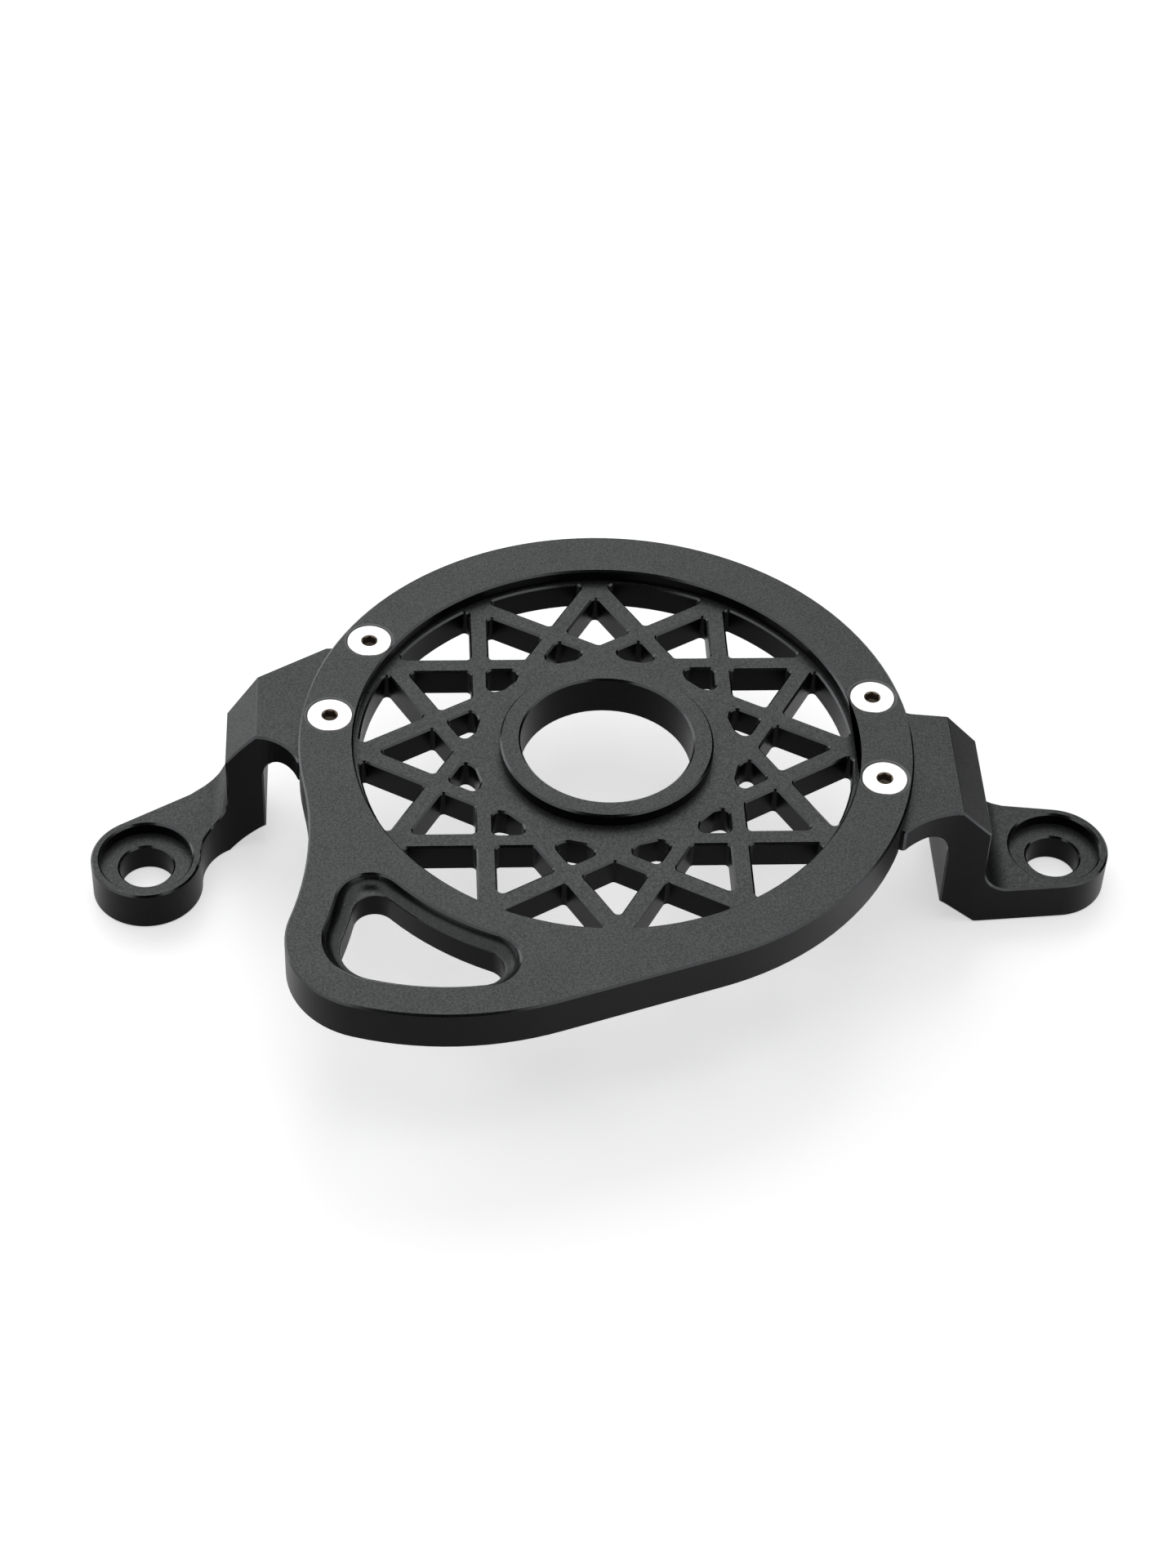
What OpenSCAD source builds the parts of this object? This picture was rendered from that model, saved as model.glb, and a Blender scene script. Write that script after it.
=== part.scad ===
// Cover for a round electric motor: a star-pierced ring plate carried by two screwed brackets.
// Millimetres, +Z up. The origin is the centre of the hub bore, level with the ring's top face.
// +X points to the right bracket, -Y to the lobe, and everything lies at or below Z = 0.

/* [Cover plate] */
// Diameter of the bore through the hub
bore_d = 38; // [30:0.5:42]
// Width of the raised hub round the bore
hub_w = 4.5; // [3:0.25:7]
// Width of the ring round the recess
ring_w = 12; // [11:0.25:14]
// Thickness of the plate
plate_t = 10; // [9:0.5:11]
// Depth of the recess below the ring's top face
recess_depth = 3; // [2:0.25:3.5]

/* [Star lattice] */
// Distance from the star's points to the recess wall
star_gap = 1.11; // [0.9:0.01:1.3]
// Width of the lattice bars
bar_w = 4.2; // [3.4:0.1:4.6]
// Ledge left between the recess wall and the openings
opening_rim = 1.2; // [0.8:0.1:2]
// Corner radius of the openings
opening_corner = 1; // [0.6:0.1:1.2]
// Width of the flat web between the hub and the small holes
hub_web = 5.6; // [5:0.1:6.2]
// Length of the small holes between the web and the star
hub_hole_len = 6.6; // [6.2:0.1:7.4]
// Radius of the small holes' side towards the hub
hub_hole_round = 6; // [5.5:0.1:6.5]

/* [Lobe] */
// Distance of the lobe's corner centre outside the ring
lobe_out = 8.7; // [6:0.1:10]
// Direction of the lobe's corner centre from the bore
lobe_dir = 229; // [226:0.5:232]
// Radius of the lobe's corner
lobe_corner_r = 19.5; // [18:0.5:21]
// Radius of the lobe's long front edge
lobe_front_r = 70; // [68:1:74]
// Direction in which the front edge runs into the corner
lobe_turn = 253; // [251:0.5:256]
// Radius of the hollow edge between the ring and the lobe
lobe_side_r = 80; // [70:1:90]

/* [Slot] */
// Width of metal between the slot's rim and the lobe's edge
slot_wall = 8; // [7:0.25:9]
// Width of the ring between the recess and the slot's rim
slot_ring_w = 7.2; // [6.8:0.1:7.6]
// Corner radius of the slot's rim at its two ends
slot_end_r = 7; // [6.5:0.1:7.2]
// Radius of the ball cutter that makes the sloping edge
cove_r = 4; // [3.5:0.25:4.5]
// Width of the sloping edge along the lobe's outside
cove_w = 3.3; // [2.8:0.1:3.6]
// Width of the sloping edge along the ring
cove_ring_w = 2.1; // [1.8:0.1:2.6]
// Corner radius of the through hole at its two ends
slot_hole_r = 4.5; // [4:0.1:4.8]

/* [Brackets] */
// Distance of the outer wall of a leg outside the ring
leg_out = 16.5; // [15.5:0.5:18.5]
// Thickness of the right leg
right_leg_t = 9.5; // [8:0.5:10]
// Thickness of the left leg
left_leg_t = 8.3; // [8:0.1:10]
// Size of the sloping shoulder on top of a leg
shoulder = 7; // [5:0.5:7.5]
// Thickness of the ring above a bracket's tab
ring_over_tab = 4; // [3.5:0.25:4.5]
// Depth of the arms' top face below the ring's top face
arm_drop = 29; // [27:0.5:31]
// Thickness of the arms
arm_t = 10; // [9:0.5:12]
// Radius between a leg's outer wall and its arm
knee_r = 6.3; // [4:0.1:7]
// Radius between a tab's underside and the leg's inner wall
arch_r = 6; // [4:0.5:7]
// Height of the sloping heel under a leg
heel = 7; // [5:0.5:8]
// Width of the sloping heel under a leg
heel_w = 8.3; // [6:0.1:9]
// Radial gap between a tab and the end of its pocket
pocket_gap = 0.3; // [0.2:0.05:0.5]

/* [Right bracket] */
// Distance of the right bracket's front face in front of the bore
right_front = 20; // [18:0.5:20.5]
// Distance of its back edge behind the bore, at the leg's outer wall
right_back = 9.8; // [9:0.1:11]
// Slope of its back edge in degrees
right_back_slope = 7; // [5:1:9]
// Radius between its front face and the ring
right_flare_r = 19; // [15:1:20]
// Radius between its back edge and the ring
right_back_flare_r = 4; // [2:0.5:6]

/* [Left bracket] */
// Distance of the left bracket's front face behind the bore
left_front = 5.8; // [5.2:0.1:6.4]
// Distance of its back edge behind the bore, at the leg's outer wall
left_back = 21; // [19:0.5:22]
// Slope of its back edge in degrees
left_back_slope = 31.5; // [29:0.5:33]
// Distance of its straight back side behind the bore
left_back_end = 34.4; // [33.6:0.1:35.2]
// Radius between its front face and the ring
left_flare_r = 11; // [9:0.5:12]
// Radius between its front face and the eye
left_sweep_r = 11; // [9:0.5:12]

/* [Mounting eyes] */
// Distance of each eye outside the outer wall of its leg
eye_out = 18; // [17:0.5:20]
// Distance of each eye in front of the bore
eye_y = 6.5; // [6:0.25:7]
// Outside diameter of an eye
eye_d = 24.4; // [23:0.1:26]
// Diameter of the bolt hole in an eye
eye_hole_d = 12; // [8:0.5:13]
// Diameter of the seat round the bolt hole
eye_seat_d = 20.5; // [18:0.5:21]
// Depth of the seat
eye_seat_depth = 3; // [2:0.25:5]

/* [Screws] */
// Distance of the screws inside the ring's edge
screw_in = 6.2; // [5.8:0.1:6.6]
// Angle between each screw and the middle of its pair
screw_half_angle = 12; // [10:0.5:13]
// Thread diameter of the screws
screw_d = 5; // [4:1:5]
// Length of the screws, head included
screw_len = 10; // [8:0.5:10]
// Width across flats of the hexagon socket
socket_af = 3; // [2.5:0.5:3]
// Depth of the hexagon socket
socket_depth = 2; // [1.5:0.1:2.2]
// Depth of the head's top below the ring's top face
head_sink = 0.1; // [0:0.05:0.3]
// Radial clearance of the threads in the tabs
thread_gap = 0.05; // [0.03:0.01:0.1]

/* [Hidden] */
fine = 160;
mid = 64;
over = 1;
// How far a rounding reaches past the sides it touches, so that the outline closes cleanly
grip = 0.001;

bore_r = bore_d / 2;
hub_r = bore_r + hub_w;

// Each point of the star is joined to the fourth one round
star_points = 12;
star_skip = 4;
star_step = 360 / star_points;
star_top = 90;
outer_turn = star_skip * star_step / 2;

// Small holes beside the hub. The bars are slimmer along them
hub_hole_in = hub_r + hub_web;
hub_hole_tip = 1.2;
hub_hole_corner = 1.5;
hub_hole_turn = outer_turn - star_step / 2;
hub_hole_out = hub_hole_tip + (hub_hole_in + hub_hole_len - hub_hole_tip) * cos(hub_hole_turn);
bar_slimming = 0.5;

// The star is as large as lets its inner points reach the small holes
bar_in = hub_hole_out - bar_slimming;
bar_offset = bar_in + bar_w / 2;
bar_out = bar_offset + bar_w / 2;
star_r = bar_offset / cos(outer_turn);

recess_r = star_r + star_gap;
opening_r = recess_r - opening_rim;
ring_r = recess_r + ring_w;
screw_r = ring_r - screw_in;

// The head is a right-angled cone cut off at the size of a standard screw
head_r = 0.99 * screw_d;
head_gap = 0.15;
head_cone_r = head_r + head_gap;
screw_hole_gap = 0.25;
screw_hole_r = screw_d / 2 + screw_hole_gap;
socket_r = socket_af / 2 / cos(30);

// Pocket and tab under the ring
pocket_wall = 1;
pocket_turn_gap = 0.3;
tab_past_screw = 10;
tab_floor = plate_t;
pocket_r = recess_r + pocket_wall;
tab_r = pocket_r + pocket_gap;
tab_half_angle = screw_half_angle + tab_past_screw;
tab_reach = ring_r / cos(tab_half_angle);
pocket_half_angle = tab_half_angle + pocket_turn_gap;

leg_x = ring_r + leg_out;
arm_floor = arm_drop + arm_t;
eye_r = eye_d / 2;
eye = [leg_x + eye_out, -eye_y];

// Each bracket's screw pair, and the bend in its arm's back edge
right_pair = 0;
right_waist = [leg_x + 8, 7.05];
left_pair = 20;
left_middle = 180 - left_pair;
left_waist = [leg_x + 9, 13.2];

body_colour = [0.09, 0.09, 0.1];
steel_colour = [0.8, 0.8, 0.82];

function polar(r, a) = [r * cos(a), r * sin(a)];
function heading(v) = atan2(v[1], v[0]);
function unit(v) = v / norm(v);

// A point at distance a from p and b from q, to the left of the line from p to q
function meet(p, a, q, b) =
    let (d = norm(q - p), x = (a * a - b * b + d * d) / (2 * d), h = sqrt(a * a - x * x))
    p + x * (q - p) / d + h * [p[1] - q[1], q[0] - p[0]] / d;

// The point where a line from p touches a circle, on its left (side 1) or right (side -1)
function touch(p, c, r, side) =
    c + polar(r, heading(p - c) - side * acos(r / norm(p - c)));

// The point where two lines cross, each given by its offset and the direction of its normal
function cross_at(d1, a1, d2, a2) =
    [d1 * sin(a2) - d2 * sin(a1), d2 * cos(a1) - d1 * cos(a2)] / sin(a2 - a1);

// Corner p between the sides towards a and b, rounded by r: half its angle, the arc's centre
// and the point where the arc starts on the side towards a
function half_angle(a, p, b) = acos(unit(a - p) * unit(b - p)) / 2;
function round_centre(a, p, b, r) =
    p + unit(unit(a - p) + unit(b - p)) * r / sin(half_angle(a, p, b));
function round_start(a, p, b, r) = p + unit(a - p) * r / tan(half_angle(a, p, b));

// Lobe geometry: corner, front arc and hollow side, each tangent to the next
lobe_corner = polar(ring_r + lobe_out, lobe_dir);
lobe_front = lobe_corner - polar(lobe_front_r - lobe_corner_r, lobe_turn);
lobe_side = meet(lobe_corner, lobe_corner_r + lobe_side_r, [0, 0], ring_r + lobe_side_r);
lobe_line = heading(lobe_front) + acos((ring_r - lobe_front_r) / norm(lobe_front));

// A round corner or end, at its centre
module rounding(centre, r) {
    translate(centre)
        circle(r + grip, $fn = mid);
}

// A straight-sided outline with every corner rounded by r
module rounded_outline(pts, r) {
    n = len(pts);
    polygon([
        for (i = [0:n - 1])
            let (a = pts[(i + n - 1) % n], b = pts[(i + 1) % n])
            each [round_start(a, pts[i], b, r), round_start(b, pts[i], a, r)]
    ]);
    for (i = [0:n - 1])
        rounding(round_centre(pts[(i + n - 1) % n], pts[i], pts[(i + 1) % n], r), r);
}

// Large opening inside one point of the star
module point_opening() {
    side = outer_turn - star_step;
    rounded_outline(
        [
            cross_at(bar_in, outer_turn, bar_in, -outer_turn),
            cross_at(bar_in, outer_turn, bar_out, -side),
            cross_at(bar_out, side, bar_out, -side),
            cross_at(bar_in, -outer_turn, bar_out, side)
        ],
        opening_corner
    );
}

// Small hole near the hub, between two points of the star: two straight sides and an arc
module hub_opening() {
    far = hub_hole_turn;
    tip = [(hub_hole_out - hub_hole_tip) / cos(far), 0];
    tip_foot = tip + polar(hub_hole_tip, far);
    arc = [hub_hole_in + hub_hole_round, 0];
    corner_offset = hub_hole_out - hub_hole_corner;
    corner_reach = hub_hole_round - hub_hole_corner;
    corner = arc + polar(corner_reach, far + acos((corner_offset - arc[0] * cos(far)) / corner_reach));
    foot = corner + polar(hub_hole_corner, far);
    beyond = arc + (hub_hole_round + over) * unit(corner - arc);
    half = [tip_foot, foot, corner, beyond];
    intersection() {
        translate(arc)
            circle(hub_hole_round, $fn = fine);
        polygon(concat(half, [for (i = [3:-1:0]) [half[i][0], -half[i][1]]]));
    }
    rounding(tip, hub_hole_tip);
    for (s = [-1, 1])
        rounding([corner[0], s * corner[1]], hub_hole_corner);
}

// Three-cornered opening at the rim, between two points of the star
module rim_opening() {
    far = outer_turn - star_step / 2;
    tip = cross_at(bar_out, far, bar_out, -far);
    end_r = opening_r - opening_corner;
    end_a = acos((bar_out + opening_corner) / end_r) - far;
    centre = polar(end_r, end_a);
    foot = centre - polar(opening_corner, -far);
    tip_in = tip + polar(opening_corner / tan(90 - far), 90 - far);
    tip_centre = tip + [opening_corner / sin(90 - far), 0];
    intersection() {
        circle(opening_r, $fn = fine);
        polygon([
            tip_in,
            foot,
            centre,
            polar(opening_r + over, end_a),
            polar(opening_r + over, -end_a),
            [centre[0], -centre[1]],
            [foot[0], -foot[1]],
            [tip_in[0], -tip_in[1]]
        ]);
    }
    for (s = [-1, 1])
        rounding([centre[0], s * centre[1]], opening_corner);
    rounding(tip_centre, opening_corner);
}

module lattice_openings() {
    for (i = [0:star_points - 1]) {
        rotate(star_top + i * star_step)
            point_opening();
        rotate(star_top + (i + 0.5) * star_step)
            hub_opening();
        rotate(star_top + (i + 0.5) * star_step)
            rim_opening();
    }
}

// Outline of the ring with its lobe
module plate_outline() {
    side_at_ring = lobe_side * ring_r / norm(lobe_side);
    side_at_corner = lobe_corner + lobe_corner_r * unit(lobe_side - lobe_corner);
    front_at_corner = lobe_corner + polar(lobe_corner_r, lobe_turn);
    front_at_line = lobe_front + polar(lobe_front_r - grip, lobe_line);
    front_past_line = lobe_line + 2;
    arc_reach = lobe_front_r + 9;
    difference() {
        union() {
            circle(ring_r, $fn = fine);
            rounding(lobe_corner, lobe_corner_r);
            polygon([
                [0, 0],
                side_at_ring,
                side_at_corner,
                lobe_corner,
                front_at_corner,
                front_at_line,
                polar(ring_r - grip, lobe_line)
            ]);
            intersection() {
                translate(lobe_front)
                    circle(lobe_front_r, $fn = fine);
                polygon([
                    lobe_front,
                    lobe_front + polar(arc_reach, lobe_turn),
                    lobe_front + polar(arc_reach, front_past_line)
                ]);
            }
        }
        translate(lobe_side)
            circle(lobe_side_r + grip, $fn = fine);
    }
}

// The slot's three long sides, at its rim
slot_front_r = lobe_front_r - slot_wall;
slot_side_r = lobe_side_r + slot_wall;
slot_inner_r = recess_r + slot_ring_w;
slot_corner_r = lobe_corner_r - slot_wall;

// Centres of the slot's end corners, for sides inset by w and ring_w and a corner radius r
function slot_top(w, ring_w, r) = meet([0, 0], slot_inner_r + ring_w + r, lobe_side, slot_side_r + w + r);
function slot_end(w, ring_w, r) = meet([0, 0], slot_inner_r + ring_w + r, lobe_front, slot_front_r - w - r);

// The slot between its corner centres, reaching past its three long sides
module slot_core(top, end) {
    reach = 5;
    polygon([
        top,
        top + (slot_end_r + reach) * unit(lobe_side - top),
        lobe_corner + (slot_corner_r + reach) * unit(lobe_side - lobe_corner),
        lobe_corner,
        lobe_corner + polar(slot_corner_r + reach, lobe_turn),
        end + (slot_end_r + reach) * unit(end - lobe_front),
        end,
        end - (slot_end_r + reach) * unit(end),
        top - (slot_end_r + reach) * unit(top)
    ]);
}

module slot_hole() {
    top = slot_top(cove_w, cove_ring_w, slot_hole_r);
    end = slot_end(cove_w, cove_ring_w, slot_hole_r);
    difference() {
        intersection() {
            slot_core(top, end);
            translate(lobe_front)
                circle(slot_front_r - cove_w, $fn = fine);
        }
        circle(slot_inner_r + cove_ring_w, $fn = fine);
        translate(lobe_side)
            circle(slot_side_r + cove_w, $fn = fine);
    }
    rounding(top, slot_hole_r);
    rounding(end, slot_hole_r);
    rounding(lobe_corner, slot_corner_r - cove_w);
}

// A round body whose top edge, at Z = 0, is the track of the ball cutter
module cove_body(r) {
    rotate_extrude($fn = fine)
        intersection() {
            union() {
                translate([0, -cove_r])
                    square([r - cove_r, cove_r]);
                translate([r - cove_r, 0])
                    circle(cove_r, $fn = mid);
            }
            translate([0, -cove_r - over])
                square([r + over, cove_r + over]);
        }
}

// What the ball cutter leaves standing round a circle of radius r
module cove_stump(r) {
    translate([0, 0, -cove_r])
        rotate_extrude($fn = fine)
            difference() {
                square([r + cove_r, cove_r]);
                translate([r + cove_r, cove_r])
                    circle(cove_r, $fn = mid);
            }
}

module slot() {
    top = slot_top(0, 0, slot_end_r);
    end = slot_end(0, 0, slot_end_r);
    translate([0, 0, -plate_t - over])
        linear_extrude(plate_t + 2 * over)
            slot_hole();
    difference() {
        intersection() {
            translate([0, 0, -cove_r])
                linear_extrude(cove_r)
                    slot_core(top, end);
            translate(lobe_front)
                cove_body(slot_front_r);
        }
        cove_stump(slot_inner_r);
        translate(lobe_side)
            cove_stump(slot_side_r);
    }
    for (c = [top, end])
        translate(c)
            cove_body(slot_end_r + grip);
    translate(lobe_corner)
        cove_body(slot_corner_r + grip);
}

// Places its children on both screws of a pair
module screw_pair(middle) {
    for (s = [-1, 1])
        rotate(middle + s * screw_half_angle)
            translate([screw_r, 0, 0])
                children();
}

module screw_hole() {
    translate([0, 0, -plate_t - over])
        cylinder(h = plate_t + 2 * over, r = screw_hole_r, $fn = mid);
    cone_top = head_cone_r + head_sink;
    translate([0, 0, -cone_top])
        cylinder(h = cone_top + over, r1 = 0, r2 = cone_top + over, $fn = mid);
}

// Sector under the ring that takes a bracket's tab
module tab_sector(middle, half, inner, outer) {
    reach = outer / cos(half);
    intersection() {
        difference() {
            circle(outer, $fn = fine);
            circle(inner, $fn = fine);
        }
        polygon([
            [0, 0],
            polar(reach, middle - half),
            polar(reach, middle),
            polar(reach, middle + half)
        ]);
    }
}

module pocket(middle) {
    translate([0, 0, -plate_t - over])
        linear_extrude(plate_t - ring_over_tab + over)
            tab_sector(middle, pocket_half_angle, pocket_r, ring_r + over);
}

module cover_plate() {
    color(body_colour)
        difference() {
            translate([0, 0, -plate_t])
                linear_extrude(plate_t)
                    plate_outline();
            difference() {
                translate([0, 0, -recess_depth])
                    cylinder(h = recess_depth + over, r = recess_r, $fn = fine);
                translate([0, 0, -recess_depth - over])
                    cylinder(h = recess_depth + 3 * over, r = hub_r, $fn = fine);
            }
            translate([0, 0, -plate_t - over])
                cylinder(h = plate_t + 2 * over, r = bore_r, $fn = fine);
            translate([0, 0, -plate_t - over])
                linear_extrude(plate_t - recess_depth + 2 * over)
                    lattice_openings();
            slot();
            pocket(right_pair);
            pocket(left_middle);
            screw_pair(right_pair)
                screw_hole();
            screw_pair(left_middle)
                screw_hole();
        }
}

// Side view of a bracket: tab, leg and arm, with its arch and knee rounded
module bracket_profile(leg_in_x) {
    arch = [leg_in_x - arch_r, -tab_floor - arch_r];
    knee = [leg_x + knee_r, -arm_drop + knee_r];
    difference() {
        polygon([
            [0, -ring_over_tab],
            [leg_x - shoulder, -ring_over_tab],
            [leg_x, -ring_over_tab - shoulder],
            [leg_x, knee[1]],
            knee,
            [knee[0], -arm_drop],
            [eye[0] + eye_r + over, -arm_drop],
            [eye[0] + eye_r + over, -arm_floor],
            [leg_in_x + heel_w, -arm_floor],
            [leg_in_x, heel - arm_floor],
            [leg_in_x, arch[1]],
            arch,
            [arch[0], -tab_floor],
            [0, -tab_floor]
        ]);
        rounding(arch, arch_r);
        rounding(knee, knee_r);
    }
}

// Gives a plan the side view's height and drills the holes
module bracket(middle, leg_t) {
    difference() {
        intersection() {
            translate([0, 0, -arm_floor])
                linear_extrude(arm_floor - ring_over_tab)
                    children();
            translate([0, ring_r, 0])
                rotate([90, 0, 0])
                    linear_extrude(2 * ring_r)
                        bracket_profile(leg_x - leg_t);
        }
        translate([eye[0], eye[1], -arm_floor - over])
            cylinder(h = arm_t + 2 * over, r = eye_hole_d / 2, $fn = mid);
        translate([eye[0], eye[1], -arm_drop - eye_seat_depth])
            cylinder(h = eye_seat_depth + over, r = eye_seat_d / 2, $fn = mid);
        screw_pair(middle)
            translate([0, 0, -plate_t - over])
                cylinder(h = plate_t, r = screw_d / 2 + thread_gap, $fn = mid);
    }
}

module right_plan() {
    flare_y = -right_front - right_flare_r;
    flare = [sqrt(pow(ring_r + right_flare_r, 2) - pow(flare_y, 2)), flare_y];
    back_line = leg_x * sin(right_back_slope) + right_back * cos(right_back_slope);
    back_reach = ring_r + right_back_flare_r;
    back_a = 90 - right_back_slope - acos((back_line + right_back_flare_r) / back_reach);
    back_flare = polar(back_reach, back_a);
    difference() {
        union() {
            tab_sector(right_pair, tab_half_angle, tab_r, ring_r);
            rounding(eye, eye_r);
            polygon([
                [0, 0],
                polar(tab_reach, -tab_half_angle),
                [flare[0], -right_front],
                [leg_x, -right_front],
                touch([leg_x, -right_front], eye, eye_r, -1),
                eye,
                touch(right_waist, eye, eye_r, 1),
                right_waist,
                [leg_x, right_back],
                back_flare - polar(right_back_flare_r, 90 - right_back_slope),
                polar(ring_r + over, back_a)
            ]);
        }
        rounding(flare, right_flare_r);
        rounding(back_flare, right_back_flare_r);
        circle(tab_r, $fn = fine);
    }
}

module right_bracket() {
    color(body_colour)
        bracket(right_pair, right_leg_t)
            right_plan();
}

// Drawn as its mirror image, on the +X side
module left_plan() {
    flare_y = left_front - left_flare_r;
    flare = [sqrt(pow(ring_r + left_flare_r, 2) - pow(flare_y, 2)), flare_y];
    sweep_y = left_front - left_sweep_r;
    sweep_reach = sqrt(pow(eye_r + left_sweep_r, 2) - pow(sweep_y - eye[1], 2));
    sweep = [eye[0] - sweep_reach, sweep_y];
    back_end_x = leg_x - (left_back_end - left_back) / tan(left_back_slope);
    difference() {
        union() {
            tab_sector(left_pair, tab_half_angle, tab_r, ring_r);
            rounding(eye, eye_r);
            polygon([
                [0, 0],
                polar(tab_reach, left_pair - tab_half_angle),
                [min(flare[0], sweep[0]), left_front],
                [max(flare[0], sweep[0]), left_front],
                eye + eye_r * unit(sweep - eye),
                eye,
                touch(left_waist, eye, eye_r, 1),
                left_waist,
                [leg_x, left_back],
                [back_end_x, left_back_end],
                [tab_r - over, left_back_end]
            ]);
        }
        rounding(flare, left_flare_r);
        rounding(sweep, left_sweep_r);
        circle(tab_r, $fn = fine);
    }
}

module left_bracket() {
    color(body_colour)
        mirror([1, 0, 0])
            bracket(left_pair, left_leg_t)
                left_plan();
}

// Countersunk screw, drawn with the ring's top face at Z = 0
module screw() {
    difference() {
        union() {
            intersection() {
                translate([0, 0, -head_sink - head_cone_r])
                    cylinder(h = head_cone_r, r1 = 0, r2 = head_cone_r, $fn = mid);
                translate([0, 0, -head_sink - head_cone_r])
                    cylinder(h = head_cone_r, r = head_r, $fn = mid);
            }
            translate([0, 0, -head_sink - screw_len])
                cylinder(h = screw_len - over, r = screw_d / 2, $fn = mid);
        }
        translate([0, 0, -head_sink - socket_depth])
            cylinder(h = socket_depth + over, r = socket_r, $fn = 6);
    }
}

module screw_at(azimuth) {
    color(steel_colour)
        rotate(azimuth)
            translate([screw_r, 0, 0])
                screw();
}

module right_rear_screw() {
    screw_at(right_pair + screw_half_angle);
}

module right_front_screw() {
    screw_at(right_pair - screw_half_angle);
}

module left_rear_screw() {
    screw_at(left_middle - screw_half_angle);
}

module left_front_screw() {
    screw_at(left_middle + screw_half_angle);
}

cover_plate();
left_bracket();
right_bracket();
left_rear_screw();
left_front_screw();
right_rear_screw();
right_front_screw();
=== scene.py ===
"""Looks of the round motor cover: broken edges, black anodised and stainless finishes, white studio."""

from math import atan2, cos, pi, radians, sin

import bmesh
import bpy
from bpy.props import FloatProperty, FloatVectorProperty, PointerProperty
from mathutils import Matrix, Vector


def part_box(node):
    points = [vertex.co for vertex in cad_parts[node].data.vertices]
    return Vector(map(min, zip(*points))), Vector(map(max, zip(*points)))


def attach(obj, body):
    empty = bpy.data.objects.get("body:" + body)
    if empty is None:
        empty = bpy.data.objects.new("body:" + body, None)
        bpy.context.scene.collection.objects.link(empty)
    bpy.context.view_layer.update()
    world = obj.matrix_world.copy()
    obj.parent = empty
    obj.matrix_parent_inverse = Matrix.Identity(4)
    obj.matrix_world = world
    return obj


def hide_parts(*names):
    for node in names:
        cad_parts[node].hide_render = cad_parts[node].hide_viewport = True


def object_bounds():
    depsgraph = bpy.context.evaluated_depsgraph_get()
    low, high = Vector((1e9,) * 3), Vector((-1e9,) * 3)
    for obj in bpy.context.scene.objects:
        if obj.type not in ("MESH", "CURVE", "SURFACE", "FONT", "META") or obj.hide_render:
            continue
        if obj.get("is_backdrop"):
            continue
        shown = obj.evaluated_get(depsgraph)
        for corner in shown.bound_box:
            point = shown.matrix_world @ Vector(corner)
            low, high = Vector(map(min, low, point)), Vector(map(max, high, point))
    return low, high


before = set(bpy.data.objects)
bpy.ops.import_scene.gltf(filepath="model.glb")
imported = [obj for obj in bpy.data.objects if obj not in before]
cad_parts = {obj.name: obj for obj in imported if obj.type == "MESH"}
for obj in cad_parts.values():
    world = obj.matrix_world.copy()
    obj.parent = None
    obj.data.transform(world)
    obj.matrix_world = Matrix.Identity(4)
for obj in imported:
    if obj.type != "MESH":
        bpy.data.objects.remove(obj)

bl_info = {
    "name": "Motor cover looks",
    "version": (1, 0, 0),
    "blender": (4, 5, 0),
    "location": "3D View > Sidebar > Motor cover",
    "description": "Dresses the packed motor cover and builds its white studio",
    "category": "Object",
}

MM = 0.001
PLATE = "cover_plate"
BRACKETS = ("left_bracket", "right_bracket")
SCREWS = ("left_rear_screw", "left_front_screw", "right_rear_screw", "right_front_screw")


def linear(hex_colour):
    """An sRGB hex colour as the linear values that Blender works in."""
    parts = [int(hex_colour[i:i + 2], 16) / 255 for i in (1, 3, 5)]
    return tuple(c / 12.92 if c <= 0.04045 else ((c + 0.055) / 1.055) ** 2.4 for c in parts)


# Settings


class EdgeSettings(bpy.types.PropertyGroup):
    """How far the machined edges are broken."""

    outer: FloatProperty(
        name="Edge break", description="Width of the broken edge on a square machined corner",
        default=0.42 * MM, min=0.0, unit="LENGTH", precision=5)
    blunt: FloatProperty(
        name="Blunt edge break", description="Width of the broken edge between sloping faces",
        default=0.12 * MM, min=0.0, unit="LENGTH", precision=5)


class FinishSettings(bpy.types.PropertyGroup):
    """Colours and gloss of the two metals."""

    blasted: FloatVectorProperty(
        name="Blasted faces", description="Colour of the bead-blasted black faces",
        subtype="COLOR", default=linear("#3f4040"), min=0.0, max=1.0)
    # Painted shade: the walls' darker colour is partly their smoother milled finish and partly painted
    # shade
    milled: FloatVectorProperty(
        name="Milled walls", description="Colour of the milled black walls",
        subtype="COLOR", default=linear("#1d1d1e"), min=0.0, max=1.0)
    steel: FloatVectorProperty(
        name="Stainless steel", description="Colour of the turned screw heads",
        subtype="COLOR", default=linear("#e6e4e0"), min=0.0, max=1.0)
    cut_edge: FloatVectorProperty(
        name="Cut edges", description="Colour of the bevels cut after the blasting",
        subtype="COLOR", default=linear("#48494a"), min=0.0, max=1.0)
    # Painted shade: the socket is coloured darker than the head for the shade inside it; only its rougher
    # gloss is the broached steel's own
    socket: FloatVectorProperty(
        name="Broached socket", description="Colour of the dull steel inside the screws' sockets",
        subtype="COLOR", default=linear("#6b6258"), min=0.0, max=1.0)
    grit: FloatProperty(
        name="Blast grain", description="Size of the grain that the blasting leaves",
        default=0.45 * MM, min=0.05 * MM, unit="LENGTH", precision=5)


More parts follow.
